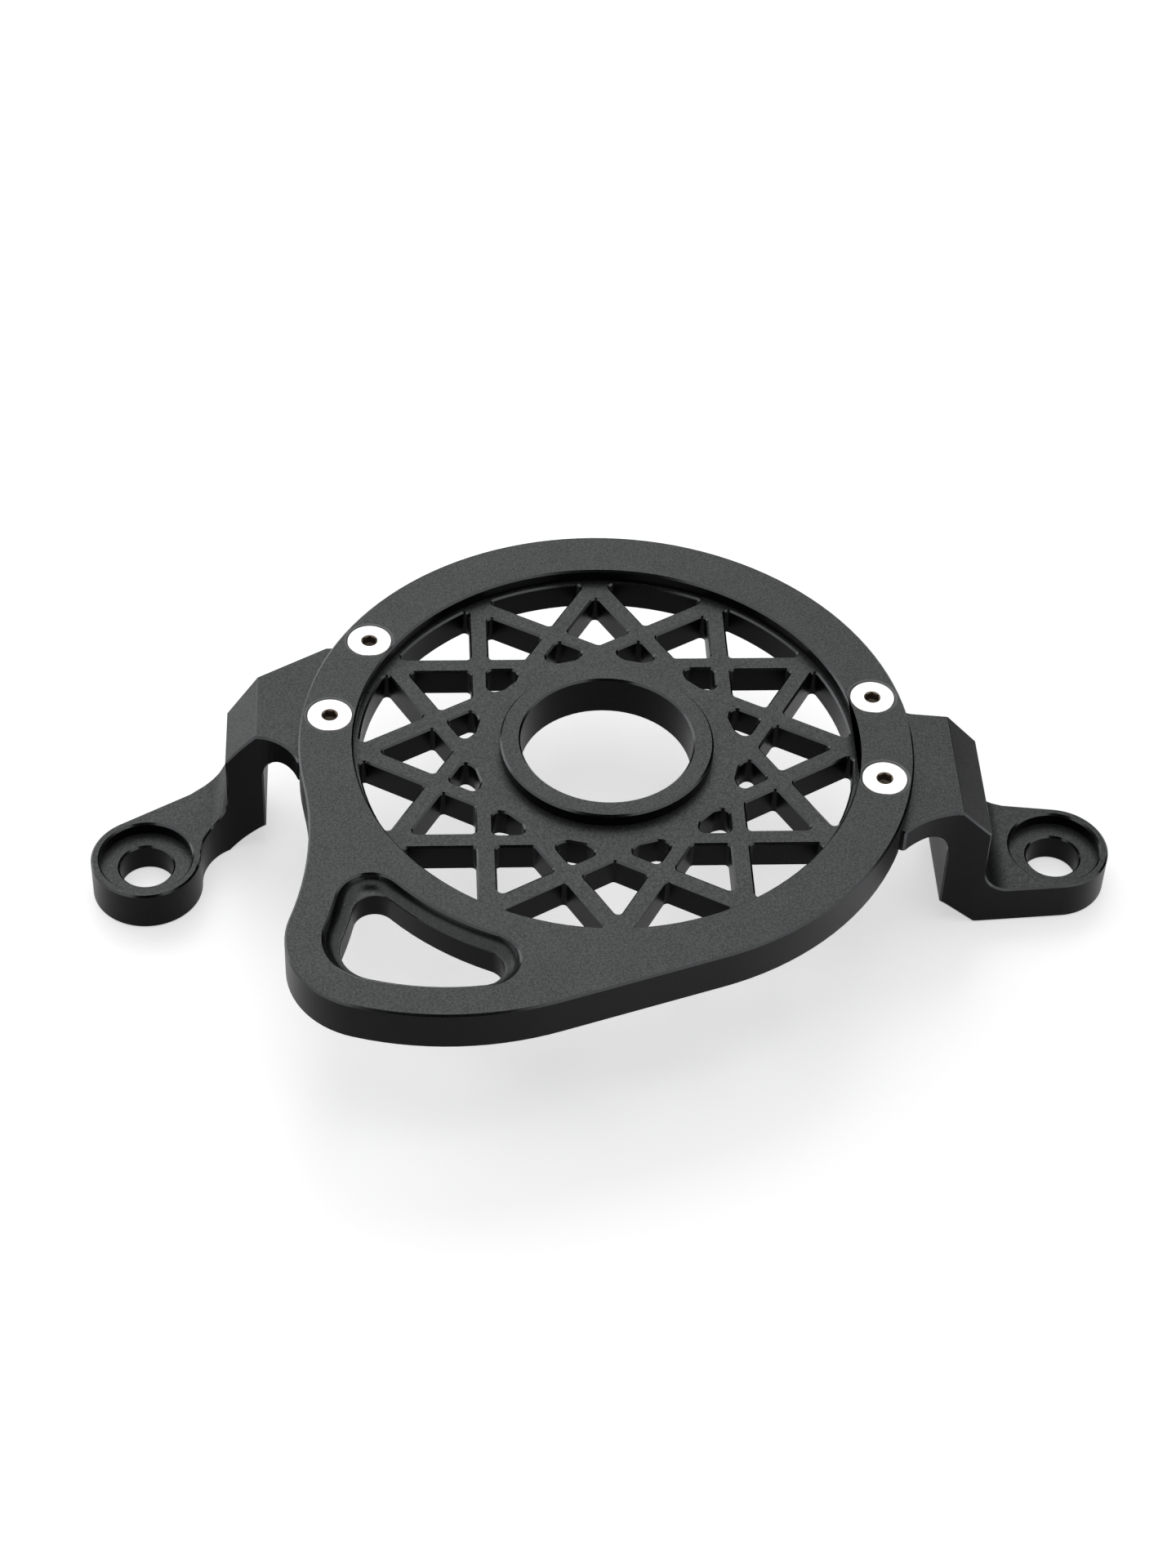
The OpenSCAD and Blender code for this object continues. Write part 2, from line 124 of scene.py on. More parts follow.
class ScrewSettings(bpy.types.PropertyGroup):
    """Sizes of the countersunk screws that the solids do not show, and how far each is turned."""

    thread_r: FloatProperty(
        name="Thread radius", description="Radius of the shank",
        default=2.5 * MM, unit="LENGTH", precision=5)
    socket_af: FloatProperty(
        name="Socket", description="Width across flats of the hexagon socket",
        default=3 * MM, unit="LENGTH", precision=5)
    socket_depth: FloatProperty(
        name="Socket depth", description="Depth of the hexagon socket",
        default=2 * MM, unit="LENGTH", precision=5)
    socket_turn: FloatProperty(
        name="Socket turn", description="How far the screws' sockets are turned when tight",
        default=radians(27), subtype="ANGLE")
    last_turn: FloatProperty(
        name="Last screw's turn", description="How much further the left front screw is turned",
        default=radians(28), subtype="ANGLE")


class StudioSettings(bpy.types.PropertyGroup):
    """The table, the lamps and the camera."""

    floor: FloatVectorProperty(
        name="Floor", description="Colour of the table",
        subtype="COLOR", default=linear("#f2f2f3"), min=0.0, max=1.0)
    # Painted shade: this white holds round the cover, darker than the full white farther out
    floor_white: FloatProperty(
        name="Floor white", description="White that the camera sees on the table",
        default=0.55, min=0.0, max=1.0)
    # Painted light: reflections show the table's white dimmer on the left and brighter on the right than
    # any lamp makes it
    painted_shine_left: FloatProperty(
        name="Left floor in reflections", description="Share of that white which reflections show, left",
        default=0.5, min=0.0)
    painted_shine_right: FloatProperty(
        name="Right floor in reflections", description="Share of that white which reflections show, right",
        default=1.6, min=0.0)
    room: FloatProperty(
        name="Room light", description="Strength of the even light of the room",
        default=0.3, min=0.0)
    back_box: FloatProperty(
        name="Back soft box", description="White level of the soft box behind the cover",
        default=1.0, min=0.0)
    left_box: FloatProperty(
        name="Left soft box", description="White level of the soft box to the left",
        default=1.1, min=0.0)
    top_box: FloatProperty(
        name="Top soft box", description="White level of the soft box over the table",
        default=0.9, min=0.0)
    lens: FloatProperty(
        name="Lens", description="Focal length of the camera on a 36 mm tall sensor, in millimetres",
        default=75.29, min=1.0)


# Materials


def new_material(name, colour):
    """An empty node material with its shader and output."""
    material = bpy.data.materials.new(name)
    material.use_nodes = True
    material.diffuse_color = (*colour, 1)
    material.node_tree.nodes.clear()
    return material


def add(tree, kind, settings=None, values=None, links=None):
    """Adds a node, sets its options and inputs, and links other nodes' outputs to it."""
    node = tree.nodes.new(kind)
    for key, value in (settings or {}).items():
        setattr(node, key, value)
    for key, value in (values or {}).items():
        node.inputs[key].default_value = value
    for key, source in (links or {}).items():
        tree.links.new(source, node.inputs[key])
    return node


def black_anodised(name, colour, grain, fleck, bump, rough, seed):
    """Aluminium with a dyed oxide layer: a dark metal sheen, with the grain of its surface under it."""
    material = new_material(name, colour)
    tree = material.node_tree
    place = add(tree, "ShaderNodeTexCoord").outputs["Object"]
    fine = add(tree, "ShaderNodeTexNoise", {"noise_dimensions": "4D"},
               {"Scale": 1 / grain, "W": seed, "Detail": 2.0, "Roughness": 0.55}, {"Vector": place})
    # Handling and dye leave clouds about a centimetre across
    cloud = add(tree, "ShaderNodeTexNoise", {"noise_dimensions": "4D"},
                {"Scale": 1 / (9 * MM), "W": seed + 3.1, "Detail": 3.0}, {"Vector": place})
    speck = add(tree, "ShaderNodeMapRange", {}, {"From Min": 0.34, "From Max": 0.66},
                {"Value": fine.outputs["Fac"]})
    tone = add(tree, "ShaderNodeMix", {"data_type": "RGBA"},
               {"A": (*[c * (1 - fleck) for c in colour], 1), "B": (*[c * (1 + fleck) for c in colour], 1)},
               {"Factor": speck.outputs["Result"]})
    gloss = add(tree, "ShaderNodeMapRange", {},
                {"From Min": 0.3, "From Max": 0.7, "To Min": rough - 0.03, "To Max": rough + 0.03},
                {"Value": cloud.outputs["Fac"]})
    relief = add(tree, "ShaderNodeBump", {}, {"Strength": 1.0, "Distance": bump},
                 {"Height": fine.outputs["Fac"]})
    shader = add(tree, "ShaderNodeBsdfPrincipled", {}, {"Metallic": 1.0},
                 {"Base Color": tone.outputs["Result"], "Roughness": gloss.outputs["Result"],
                  "Normal": relief.outputs["Normal"]})
    add(tree, "ShaderNodeOutputMaterial", {}, {}, {"Surface": shader.outputs["BSDF"]})
    return material


# Distance between the turned rings on a screw's head, drawn wider than a real feed so that it shows
TURNED_RING = 0.3 * MM


def turned_steel(name, colour, smooth, rough):
    """Bright stainless steel, faced on a lathe: rings round each head that break up the gloss."""
    material = new_material(name, colour)
    tree = material.node_tree
    turned = add(tree, "ShaderNodeAttribute", {"attribute_name": "head_place"}).outputs["Vector"]
    rings = add(tree, "ShaderNodeTexWave", {"wave_type": "RINGS", "rings_direction": "Z"},
                {"Scale": 2 * pi / (20 * TURNED_RING), "Distortion": 0.4, "Detail": 1.0},
                {"Vector": turned})
    cloud = add(tree, "ShaderNodeTexNoise", {}, {"Scale": 1 / (1.2 * MM), "Detail": 2.0},
                {"Vector": turned})
    gloss = add(tree, "ShaderNodeMapRange", {}, {"To Min": smooth, "To Max": rough},
                {"Value": cloud.outputs["Fac"]})
    relief = add(tree, "ShaderNodeBump", {}, {"Strength": 0.25, "Distance": 0.01 * MM},
                 {"Height": rings.outputs["Fac"]})
    shader = add(tree, "ShaderNodeBsdfPrincipled", {},
                 {"Metallic": 1.0, "Base Color": (*colour, 1)},
                 {"Roughness": gloss.outputs["Result"], "Normal": relief.outputs["Normal"]})
    add(tree, "ShaderNodeOutputMaterial", {}, {}, {"Surface": shader.outputs["BSDF"]})
    return material


def anodised_set(finish):
    """Finishes of the black pieces: blasted faces, milled walls coloured darker for painted shade,
    ball-milled slopes and cut edges.
    """
    blasted, milled = tuple(finish.blasted), tuple(finish.milled)
    name = "Black anodised aluminium, "
    return [
        black_anodised(name + "bead-blasted", blasted, finish.grit, 0.3, 0.03 * MM, 0.42, 1.0),
        # The milled walls' darker colour is partly painted shade
        black_anodised(name + "milled", milled, 0.3 * MM, 0.12, 0.006 * MM, 0.36, 2.0),
        black_anodised(name + "ball-milled", blasted, 0.35 * MM, 0.2, 0.01 * MM, 0.3, 3.0),
        black_anodised(name + "cut edges", tuple(finish.cut_edge), 0.3 * MM, 0.1, 0.002 * MM, 0.2, 4.0),
    ]


# Machined pieces

# Finish slots: the wall slot carries the darker colour that is partly painted shade
FACE, SHADED_WALL, SLOPE, EDGE = range(4)

# Points closer than this are one: roundings reach 0.001 mm past the sides they touch
MERGE = 0.012 * MM
FLAT = radians(0.3)
CREASE = radians(28)
SQUARE = radians(60)

# The lobe's slot lies in front of this, its cove ends at this depth, and its through edge lies between two
SLOT_FRONT = -40 * MM
COVE_FOOT = -4.2 * MM
THROUGH_EDGE = (-4.5 * MM, -1.5 * MM)
SEAT_REACH = 6 * MM


def finish_of(face, coved):
    """Which finish a face has, from the way it points and where it lies. Faces that point neither up nor
    sideways take the darker wall colour, which is partly their milled finish and partly painted shade.
    """
    up = abs(face.normal.z)
    centre = face.calc_center_median()
    if coved and 0.05 < up < 0.98 and COVE_FOOT < centre.z and centre.y < SLOT_FRONT:
        return SLOPE
    # Painted shade: faces that point along Y take the darker wall colour, and faces that point up or
    # sideways the lighter blasted colour
    sideways = not coved and abs(face.normal.y) < 0.05
    return FACE if up > 0.9 or sideways else SHADED_WALL


def breaks_slot(edge):
    """Whether an edge is the slot's through edge, which the ball cutter leaves nearly sharp."""
    place = (edge.verts[0].co + edge.verts[1].co) / 2
    low, high = THROUGH_EDGE
    return place.y < SLOT_FRONT and low < place.z < high


def seats_screw(edge, screws):
    """Whether an edge is the rim of a countersunk hole, from the middles of the screws."""
    place = (edge.verts[0].co + edge.verts[1].co) / 2
    return place.z > -MM and any((place.xy - screw).length < SEAT_REACH for screw in screws)


def machined_piece(node, edges, materials, coved=False):
    """A merged copy of a CAD node with its outward edges broken, which stands for that node.

    A coved piece is the cover plate, whose slot has an edge cut by a ball cutter.
    """
    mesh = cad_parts[node].data.copy()
    mesh.name = node + "_machined"
    mesh.materials.clear()
    for material in materials:
        mesh.materials.append(material)
    bm = bmesh.new()
    bm.from_mesh(mesh)
    bmesh.ops.remove_doubles(bm, verts=bm.verts, dist=MERGE)
    bmesh.ops.dissolve_limit(bm, verts=bm.verts, edges=bm.edges, angle_limit=FLAT)
    bm.to_mesh(mesh)
    bm.free()
    piece = bpy.data.objects.new(node + "_machined", mesh)
    bpy.context.scene.collection.objects.link(piece)
    weigh_edges(piece, node, edges, coved)
    bevel = piece.modifiers.new("Broken edges", "BEVEL")
    bevel.limit_method = "WEIGHT"
    bevel.offset_type = "OFFSET"
    bevel.width = edges.outer
    bevel.segments = 1
    bevel.material = EDGE
    bevel.use_clamp_overlap = False
    bake(piece)
    crease(piece.data)
    # Flat faces shade flat, and the rounds between them take up the turn
    even = piece.modifiers.new("Even shading", "WEIGHTED_NORMAL")
    even.mode = "FACE_AREA"
    even.keep_sharp = True
    piece.modifiers.new("Triangles", "TRIANGULATE").keep_custom_normals = True
    bake(piece)
    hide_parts(node)
    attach(piece, "root")
    return piece


def weigh_edges(piece, node, edges, coved):
    """Sets how wide each edge is broken and which finish each face has."""
    bm = bmesh.new()
    bm.from_mesh(piece.data)
    weights = bm.edges.layers.float.new("bevel_weight_edge")
    screws = [((low + high) / 2).xy for low, high in map(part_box, SCREWS)]
    for edge in bm.edges:
        if len(edge.link_faces) != 2:
            raise RuntimeError(f"{node}: the merged copy has an open edge")
        turn = edge.calc_face_angle_signed()
        blunt = coved and breaks_slot(edge)
        seat = coved and seats_screw(edge, screws)
        if (turn > SQUARE and not blunt) or (turn > CREASE and seat):
            edge[weights] = 1.0
        elif turn > CREASE:
            edge[weights] = edges.blunt / edges.outer
    for face in bm.faces:
        face.smooth = True
        face.material_index = finish_of(face, coved)
    bm.to_mesh(piece.data)
    bm.free()


def crease(mesh):
    """Marks the edges that turn by more than the crease angle as sharp."""
    bm = bmesh.new()
    bm.from_mesh(mesh)
    for edge in bm.edges:
        edge.smooth = len(edge.link_faces) == 2 and edge.calc_face_angle() < CREASE
    bm.to_mesh(mesh)
    bm.free()


def bake(piece):
    """Turns a piece's modifiers into its mesh."""
    graph = bpy.context.evaluated_depsgraph_get()
    baked = bpy.data.meshes.new_from_object(piece.evaluated_get(graph), depsgraph=graph)
    piece.modifiers.clear()
    piece.data = baked


# Screws


def screw_places():
    """The screws' head radius, length, sink and angles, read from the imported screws."""
    angles = {}
    for node in SCREWS:
        low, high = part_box(node)
        angles[node] = atan2((low.y + high.y) / 2, (low.x + high.x) / 2)
    low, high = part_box("right_rear_screw")
    left = [angles["left_rear_screw"], angles["left_front_screw"] % (2 * pi)]
    return {
        "head_r": (high.x - low.x) / 2,
        "length": high.z - low.z,
        "sink": -high.z,
        "circle_r": Vector(((low.x + high.x) / 2, (low.y + high.y) / 2)).length,
        "half_angle": angles["right_rear_screw"],
        "left_pair": sum(left) / 2,
    }


# Steps round a screw's head and round its socket: two of the head meet one of the socket
HEAD_STEPS = 48
SOCKET_STEPS = HEAD_STEPS // 2


def ring_points(bm, radius, z, steps):
    """A ring of points round the screw's axis."""
    return [bm.verts.new((radius * cos(2 * pi * i / steps), radius * sin(2 * pi * i / steps), z))
            for i in range(steps)]


def screw_body(bm, thread_r, head, length):
    """The rings of the head's rim, cone, shank and point, joined. Returns the top ring."""
    rim, point = 0.12 * MM, 0.4 * MM
    profile = [
        (head - rim, 0.0),
        (head, -rim),
        (thread_r, -rim - (head - thread_r)),
        (thread_r, -length + point),
        (thread_r - point, -length),
    ]
    rings = [ring_points(bm, r, z, HEAD_STEPS) for r, z in profile]
    for low, high in zip(rings[1:], rings[:-1]):
        for i in range(HEAD_STEPS):
            j = (i + 1) % HEAD_STEPS
            bm.faces.new((low[i], low[j], high[j], high[i]))
    bm.faces.new(list(reversed(rings[-1])))
    return rings[0]


def screw_socket(bm, sizes):
    """A hexagon with a countersunk mouth and a drilled foot. Returns its mouth's ring and its faces."""
    corner = sizes.socket_af / 2 / cos(radians(30))
    mouth = corner + 0.15 * MM
    mouth_slope = 0.7
    drill_depth = 0.35 * MM
    lip = ring_points(bm, mouth, 0.0, SOCKET_STEPS)
    # Every fourth point is a corner, and the ones between lie on the flats
    hexagon = []
    for i in range(SOCKET_STEPS):
        turn = (i % 4) * radians(15) - radians(30)
        radius = sizes.socket_af / 2 / cos(turn)
        angle = radians(15) * i
        hexagon.append((radius * cos(angle), radius * sin(angle)))
    top = [bm.verts.new((x, y, -(mouth - Vector((x, y)).length) * mouth_slope)) for x, y in hexagon]
    foot = [bm.verts.new((x, y, -sizes.socket_depth)) for x, y in hexagon]
    drill = bm.verts.new((0, 0, -sizes.socket_depth - drill_depth))
    inside = []
    for i in range(SOCKET_STEPS):
        j = (i + 1) % SOCKET_STEPS
        inside.append(bm.faces.new((lip[i], top[i], top[j], lip[j])))
        inside.append(bm.faces.new((top[i], foot[i], foot[j], top[j])))
        inside.append(bm.faces.new((foot[i], drill, foot[j])))
    return lip, inside


def screw_mesh(sizes, head, length):
    """One countersunk screw with its head's centre at the origin, its shank along -Z."""
    bm = bmesh.new()
    outer = screw_body(bm, sizes.thread_r, head, length)
    lip, inside = screw_socket(bm, sizes)
    for i in range(SOCKET_STEPS):
        j = (i + 1) % SOCKET_STEPS
        bm.faces.new((lip[i], lip[j], outer[2 * j], outer[2 * i + 1]))
        bm.faces.new((lip[i], outer[2 * i + 1], outer[2 * i]))
    bmesh.ops.recalc_face_normals(bm, faces=bm.faces)
    for face in bm.faces:
        face.smooth = True
    for edge in bm.edges:
        edge.smooth = edge.calc_face_angle() < CREASE
    bm.faces.index_update()
    broached_shaded = {face.index for face in inside}
    mesh = bpy.data.meshes.new("screw")
    bm.to_mesh(mesh)
    bm.free()
    # The socket's faces take the darker colour of painted shade
    dull_shaded = mesh.attributes.new("broached_shaded", "BOOLEAN", "FACE")
    for i in broached_shaded:
        dull_shaded.data[i].value = True
    place = mesh.attributes.new("head_place", "FLOAT_VECTOR", "POINT")
    for i, vertex in enumerate(mesh.vertices):
        place.data[i].vector = vertex.co
    return mesh


SCREW_INPUTS = {
    "Circle radius": "circle_r",
    "Half angle": "half_angle",
    "Left pair": "left_pair",
    "Sink": "sink",
    "Socket turn": "socket_turn",
    "Last screw's turn": "last_turn",
}


def screw_tree(turned, broached_shaded):
    """A tree that sets two pairs of a screw on a circle, with a bright head and a socket coloured darker
    with painted shade.
    """
    tree = bpy.data.node_groups.new("Two pairs of screws", "GeometryNodeTree")
    face = tree.interface
    face.new_socket("Geometry", in_out="INPUT", socket_type="NodeSocketGeometry")
    face.new_socket("Geometry", in_out="OUTPUT", socket_type="NodeSocketGeometry")
    sockets = {
        name: face.new_socket(name, in_out="INPUT", socket_type="NodeSocketFloat").identifier
        for name in SCREW_INPUTS
    }
    given = add(tree, "NodeGroupInput").outputs
    index = add(tree, "GeometryNodeInputIndex").outputs[0]

    def maths(operation, a, b=None):
        node = add(tree, "ShaderNodeMath", {"operation": operation})
        for i, value in enumerate((a, b)):
            if value is None:
                continue
            if isinstance(value, (int, float)):
                node.inputs[i].default_value = value
            else:
                tree.links.new(value, node.inputs[i])
        return node.outputs[0]

    side = maths("FLOOR", maths("DIVIDE", index, 2.0))
    within = maths("SUBTRACT", maths("MULTIPLY", maths("MODULO", index, 2.0), 2.0), 1.0)
    angle = maths("ADD", maths("MULTIPLY", side, given["Left pair"]),
                  maths("MULTIPLY", within, given["Half angle"]))
    place = add(tree, "ShaderNodeCombineXYZ", {}, {}, {
        "X": maths("MULTIPLY", given["Circle radius"], maths("COSINE", angle)),
        "Y": maths("MULTIPLY", given["Circle radius"], maths("SINE", angle)),
        "Z": maths("MULTIPLY", given["Sink"], -1.0)})
    # Screws stop where they are tight, so the last one's socket lies its own way
    last = maths("GREATER_THAN", index, 2.5)
    spin = add(tree, "ShaderNodeCombineXYZ", {}, {}, {
        "Z": maths("ADD", given["Socket turn"], maths("MULTIPLY", last, given["Last screw's turn"]))})
    points = add(tree, "GeometryNodePoints", {}, {"Count": 4}, {"Position": place.outputs[0]})
    copies = add(tree, "GeometryNodeInstanceOnPoints", {}, {},
                 {"Points": points.outputs[0], "Instance": given["Geometry"],
                  "Rotation": spin.outputs[0]})
    real = add(tree, "GeometryNodeRealizeInstances", {}, {}, {"Geometry": copies.outputs[0]})
    head = add(tree, "GeometryNodeSetMaterial", {}, {"Material": turned},
               {"Geometry": real.outputs[0]})
    inside = add(tree, "GeometryNodeInputNamedAttribute", {"data_type": "BOOLEAN"}, {"Name": "broached_shaded"})
    dressed = add(tree, "GeometryNodeSetMaterial", {}, {"Material": broached_shaded},
                  {"Geometry": head.outputs[0], "Selection": inside.outputs[0]})
    add(tree, "NodeGroupOutput", {}, {}, {"Geometry": dressed.outputs[0]})
    return tree, sockets


# Operators


class CoverPlateOperator(bpy.types.Operator):
    """Break the edges of the cover plate and give it its black finishes"""

    bl_idname = "motorcover.plate"
    bl_label = "Cover plate"

    def execute(self, context):
        scene = context.scene
        machined_piece(PLATE, scene.cover_edges, anodised_set(scene.cover_finish), coved=True)
        return {"FINISHED"}


class BracketsOperator(bpy.types.Operator):
    """Break the edges of the side brackets and give them their black finishes"""

    bl_idname = "motorcover.brackets"
    bl_label = "Side brackets"

    def execute(self, context):
        scene = context.scene
        materials = anodised_set(scene.cover_finish)
        for node in BRACKETS:
            machined_piece(node, scene.cover_edges, materials)
        return {"FINISHED"}


class ScrewsOperator(bpy.types.Operator):
    """Set the countersunk screws in the ring"""

    bl_idname = "motorcover.screws"
    bl_label = "Countersunk screws"

    def execute(self, context):
        sizes = context.scene.cover_screws
        finish = context.scene.cover_finish
        turned = turned_steel("Stainless steel, turned", tuple(finish.steel), 0.24, 0.36)
        # Painted shade: the socket's steel is darker for the shade inside it, and rougher as broached steel
        # is
        broached_shaded = turned_steel("Stainless steel, broached", tuple(finish.socket), 0.42, 0.55)
        places = screw_places()
        mesh = screw_mesh(sizes, places["head_r"], places["length"])
        screws = bpy.data.objects.new("countersunk_screws", mesh)
        context.scene.collection.objects.link(screws)
        tree, sockets = screw_tree(turned, broached_shaded)
        maker = screws.modifiers.new("Two pairs of screws", "NODES")
        maker.node_group = tree
        for name, size in SCREW_INPUTS.items():
            maker[sockets[name]] = places[size] if size in places else getattr(sizes, size)
        bake(screws)
        if len(screws.data.polygons) == 0:
            raise RuntimeError("the screws came out empty")
        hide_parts(*SCREWS)
        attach(screws, "root")
        return {"FINISHED"}


# Studio

WHITE = (1.0, 1.0, 1.0, 1.0)
BLACK = (0.005, 0.005, 0.005, 1)

# Name, place, what it points at, size and the setting that gives its strength, in metres
SOFT_BOXES = (
    ("back_soft_box", (-0.2, 0.66, 0.85), (0, 0, 0), (1.2, 0.7), "back_box"),
    ("left_soft_box", (-0.95, 0.6, 0.22), (0, 0, 0), (0.6, 0.5), "left_box"),
    ("top_soft_box", (0.0, -0.1, 1.1), (0, -0.1, 0), (0.9, 0.7), "top_box"),
)
# Painted dark reflections, on cards that only reflections show. Name, place, what it points at and size
DARK_REFLECTION_CARDS = (
    ("camera_dark_reflection", (-0.05, -0.55, 0.54), (0, 0, 0), (0.6, 0.5)),
    # Darkens the right shoulder's reflection with painted shade
    ("right_dark_reflection", (0.2, 0.11, 0.022), (0.08, -0.01, 0.022), (0.36, 0.12)),
)

TABLE_HALF = 4.0
# Painted light: the table's white in reflections grows along this direction, between these distances from
# the hub
PAINTED_SHINE_SIDE = (0.6, -0.8, 0.0)
PAINTED_SHINE_FROM, PAINTED_SHINE_TO = 0.05, 0.15
# Painted shade: the table's white is darker round the hub, and goes from its own white to full white
# between these distances from it
PAINTED_SHADE_FADES_FROM, PAINTED_SHADE_FADES_TO = 0.25, 1.2

# The camera as solved from the photograph
CAMERA_PLACE = (-0.0453, -0.5116, 0.5034)
CAMERA_YAW = radians(-4.649)
CAMERA_DOWN = radians(45.224)
CAMERA_ROLL = radians(2.744)


def look_at(place, target):
    """Turns something at place so that its -Z points at target."""
    return (Vector(target) - Vector(place)).to_track_quat("-Z", "Y").to_euler()


def soft_box(name, place, target, size, strength):
    """A rectangular lamp. Strength is the white level that a mirror would show of it."""
    lamp = bpy.data.lights.new(name, "AREA")
    lamp.shape = "RECTANGLE"
    lamp.size, lamp.size_y = size
    # A lamp of this power looks as bright as a surface that emits strength
    lamp.energy = strength * pi * size[0] * size[1]
    box = bpy.data.objects.new(name, lamp)
    box.location = place
    box.rotation_euler = look_at(place, target)
    bpy.context.scene.collection.objects.link(box)
    return box


def dark_reflection_card(name, place, target, size):
    """A black card that only reflections show, as photographers set round dark metal: a painted dark
    reflection that casts no shadow.
    """
    bm = bmesh.new()
    x, y = size[0] / 2, size[1] / 2
    bm.faces.new([bm.verts.new((a * x, b * y, 0)) for a, b in ((-1, -1), (1, -1), (1, 1), (-1, 1))])
    mesh = bpy.data.meshes.new(name)
    bm.to_mesh(mesh)
    bm.free()
    material = new_material("Black card", (0.0, 0.0, 0.0))
    tree = material.node_tree
    paper = add(tree, "ShaderNodeBsdfDiffuse", {}, {"Color": BLACK})
    add(tree, "ShaderNodeOutputMaterial", {}, {}, {"Surface": paper.outputs["BSDF"]})
    mesh.materials.append(material)
    card = bpy.data.objects.new(name, mesh)
    card.location = place
    card.rotation_euler = look_at(place, target)
    card.visible_camera = False
    card.visible_diffuse = False
    card.visible_transmission = False
    card.visible_volume_scatter = False
    card.visible_shadow = False
    bpy.context.scene.collection.objects.link(card)
    card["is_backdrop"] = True
    return card


def seen_white(tree, share=None):
    """1 for rays from the camera, 1 or a share in reflections and through glass, and 0 for light."""
    path = add(tree, "ShaderNodeLightPath").outputs
    mirrored = add(tree, "ShaderNodeMath", {"operation": "MAXIMUM"}, {},
                   {0: path["Is Glossy Ray"], 1: path["Is Transmission Ray"]})
    if share is not None:
        mirrored = add(tree, "ShaderNodeMath", {"operation": "MULTIPLY"}, {},
                       {0: mirrored.outputs[0], 1: share})
    both = add(tree, "ShaderNodeMath", {"operation": "MAXIMUM"}, {},
               {0: path["Is Camera Ray"], 1: mirrored.outputs[0]})
    return both.outputs[0]


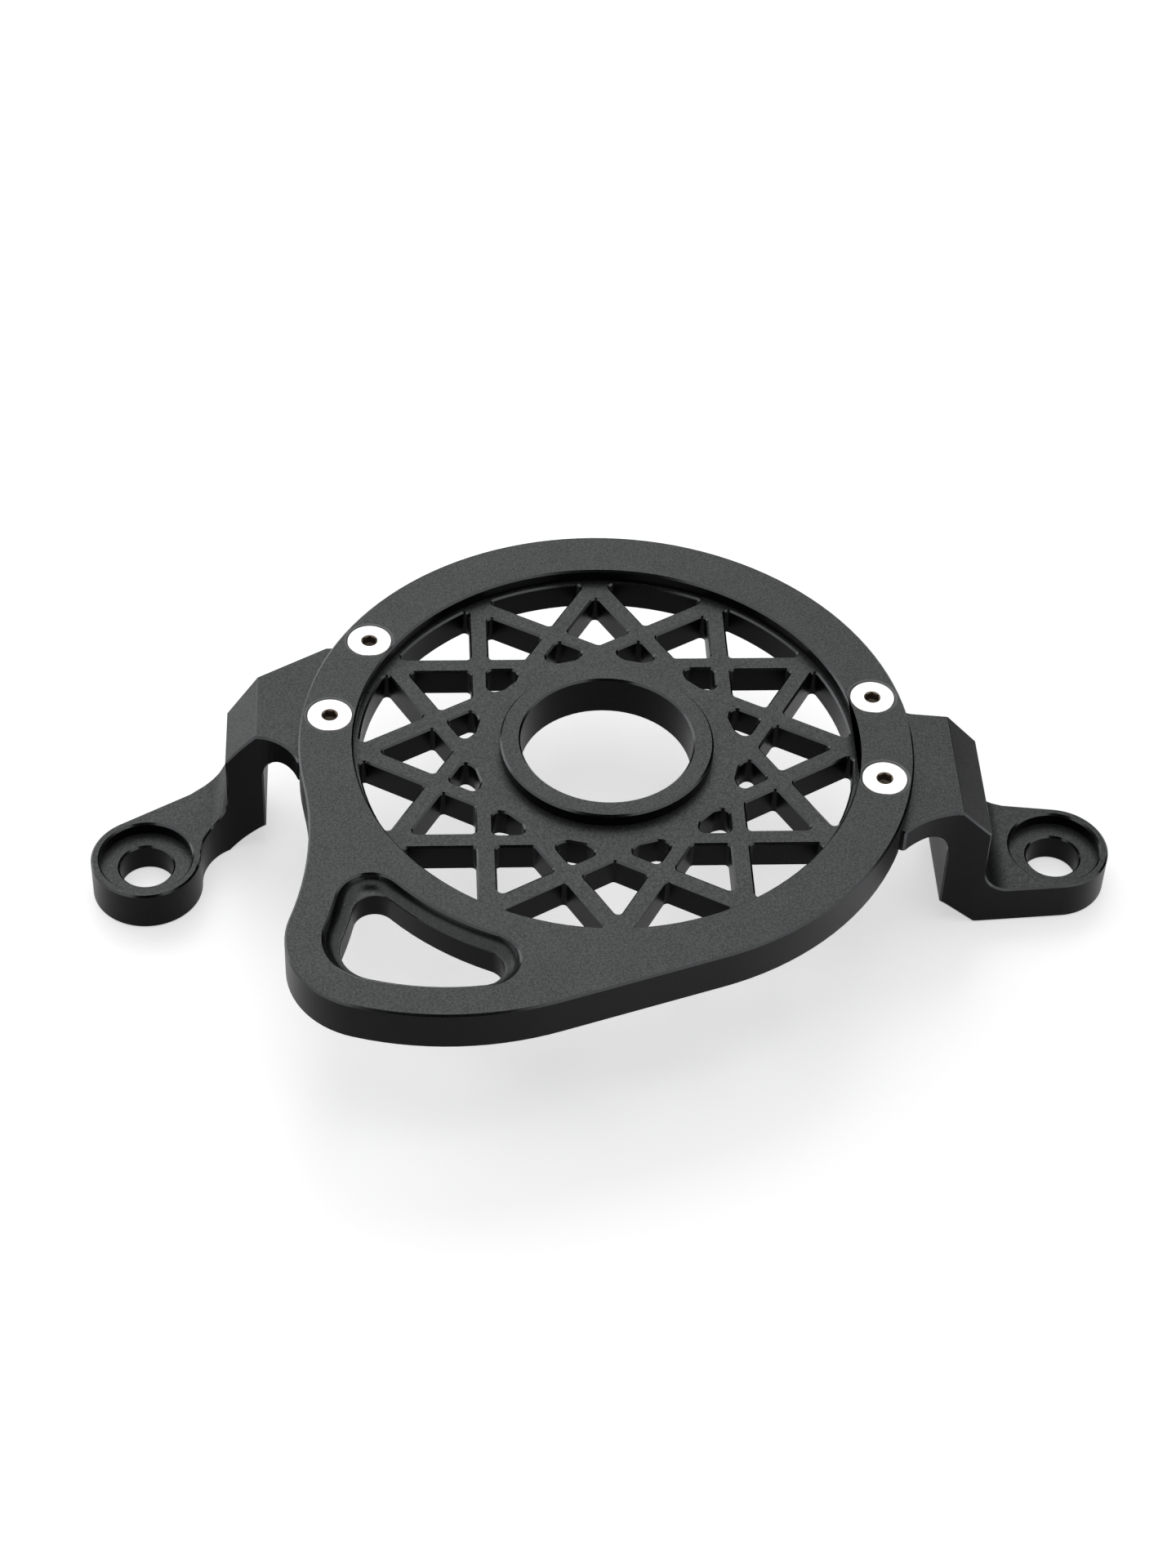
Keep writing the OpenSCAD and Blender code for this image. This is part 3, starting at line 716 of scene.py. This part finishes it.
class StudioOperator(bpy.types.Operator):
    """Build the white table, the soft lamps and the camera"""

    bl_idname = "motorcover.studio"
    bl_label = "Studio"

    def execute(self, context):
        scene = context.scene
        settings = scene.cover_studio
        self.build_floor(scene, settings)
        self.build_world(scene, settings.room)
        for name, place, target, size, strength in SOFT_BOXES:
            soft_box(name, place, target, size, getattr(settings, strength))
        for card in DARK_REFLECTION_CARDS:
            dark_reflection_card(*card)
        self.build_camera(scene, settings.lens)
        scene.view_settings.view_transform = "Standard"
        return {"FINISHED"}

    def build_floor(self, scene, settings):
        low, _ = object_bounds()
        bm = bmesh.new()
        corners = [(x * TABLE_HALF, y * TABLE_HALF) for x, y in ((-1, -1), (1, -1), (1, 1), (-1, 1))]
        bm.faces.new([bm.verts.new((x, y, low.z)) for x, y in corners])
        mesh = bpy.data.meshes.new("table")
        bm.to_mesh(mesh)
        bm.free()
        table = bpy.data.objects.new("table", mesh)
        scene.collection.objects.link(table)
        material = new_material("White acrylic table, satin", tuple(settings.floor))
        tree = material.node_tree
        shader = add(tree, "ShaderNodeBsdfPrincipled", {},
                     {"Base Color": (*settings.floor, 1), "Roughness": 0.35})
        glow = add(tree, "ShaderNodeEmission")
        # Painted light and shade: reflections show the table brighter to the right and in front and dimmer
        # to the left, light that no lamp casts
        place = add(tree, "ShaderNodeTexCoord").outputs["Object"]
        side = add(tree, "ShaderNodeVectorMath", {"operation": "DOT_PRODUCT"}, {}, {0: place})
        side.inputs[1].default_value = PAINTED_SHINE_SIDE
        painted_shine = add(tree, "ShaderNodeMapRange", {"interpolation_type": "SMOOTHSTEP"},
                    {"From Min": PAINTED_SHINE_FROM, "From Max": PAINTED_SHINE_TO, "To Min": settings.painted_shine_left,
                     "To Max": settings.painted_shine_right}, {"Value": side.outputs["Value"]})
        # Painted shade: the table's white is darker round the cover, and away from it goes to full white
        away = add(tree, "ShaderNodeVectorMath", {"operation": "LENGTH"}, {}, {0: place})
        white = add(tree, "ShaderNodeMapRange", {"interpolation_type": "SMOOTHSTEP"},
                    {"From Min": PAINTED_SHADE_FADES_FROM, "From Max": PAINTED_SHADE_FADES_TO, "To Min": settings.floor_white,
                     "To Max": 1.0},
                    {"Value": away.outputs["Value"]})
        level = add(tree, "ShaderNodeMath", {"operation": "MULTIPLY"}, {},
                    {0: seen_white(tree, painted_shine.outputs["Result"]), 1: white.outputs["Result"]})
        tree.links.new(level.outputs[0], glow.inputs["Strength"])
        both = add(tree, "ShaderNodeAddShader", {}, {},
                   {0: shader.outputs["BSDF"], 1: glow.outputs["Emission"]})
        add(tree, "ShaderNodeOutputMaterial", {}, {}, {"Surface": both.outputs["Shader"]})
        mesh.materials.append(material)
        table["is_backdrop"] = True

    def build_world(self, scene, strength):
        world = bpy.data.worlds.new("White room")
        world.use_nodes = True
        tree = world.node_tree
        tree.nodes.clear()
        room = add(tree, "ShaderNodeBackground", {}, {"Color": WHITE, "Strength": strength})
        white = add(tree, "ShaderNodeBackground", {}, {"Color": WHITE, "Strength": 1.0})
        choice = add(tree, "ShaderNodeMixShader", {}, {},
                     {0: seen_white(tree), 1: room.outputs[0], 2: white.outputs[0]})
        add(tree, "ShaderNodeOutputWorld", {}, {}, {"Surface": choice.outputs[0]})
        scene.world = world

    def build_camera(self, scene, lens):
        camera = bpy.data.cameras.new("camera")
        camera.lens = lens
        camera.sensor_width = 36.0
        camera.clip_start = 0.01
        body = bpy.data.objects.new("camera", camera)
        level = Matrix.Rotation(CAMERA_YAW, 4, "Z") @ Matrix.Rotation(pi / 2 - CAMERA_DOWN, 4, "X")
        turn = level @ Matrix.Rotation(CAMERA_ROLL, 4, "Z")
        body.matrix_world = Matrix.Translation(CAMERA_PLACE) @ turn
        scene.collection.objects.link(body)
        scene.camera = body


# Panel and run


class CoverPanel(bpy.types.Panel):
    """Lists the pieces of the motor cover in the sidebar"""

    bl_idname = "VIEW3D_PT_motor_cover"
    bl_label = "Motor cover"
    bl_space_type = "VIEW_3D"
    bl_region_type = "UI"
    bl_category = "Motor cover"

    def draw(self, context):
        scene = context.scene
        for group in GROUPS:
            settings = getattr(scene, group)
            column = self.layout.column(align=True)
            for name in settings.__annotations__:
                column.prop(settings, name)
        for operator in OPERATORS:
            self.layout.operator(operator.bl_idname)


GROUPS = {
    "cover_edges": EdgeSettings,
    "cover_finish": FinishSettings,
    "cover_screws": ScrewSettings,
    "cover_studio": StudioSettings,
}
OPERATORS = (CoverPlateOperator, BracketsOperator, ScrewsOperator, StudioOperator)


def register():
    for name, group in GROUPS.items():
        bpy.utils.register_class(group)
        setattr(bpy.types.Scene, name, PointerProperty(type=group))
    for operator in OPERATORS:
        bpy.utils.register_class(operator)
    bpy.utils.register_class(CoverPanel)


def unregister():
    bpy.utils.unregister_class(CoverPanel)
    for operator in reversed(OPERATORS):
        bpy.utils.unregister_class(operator)
    for name, group in reversed(GROUPS.items()):
        delattr(bpy.types.Scene, name)
        bpy.utils.unregister_class(group)


def main():
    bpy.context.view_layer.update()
    register()
    for operator in OPERATORS:
        group, name = operator.bl_idname.split(".")
        getattr(getattr(bpy.ops, group), name)()


if __name__ == "__main__":
    main()
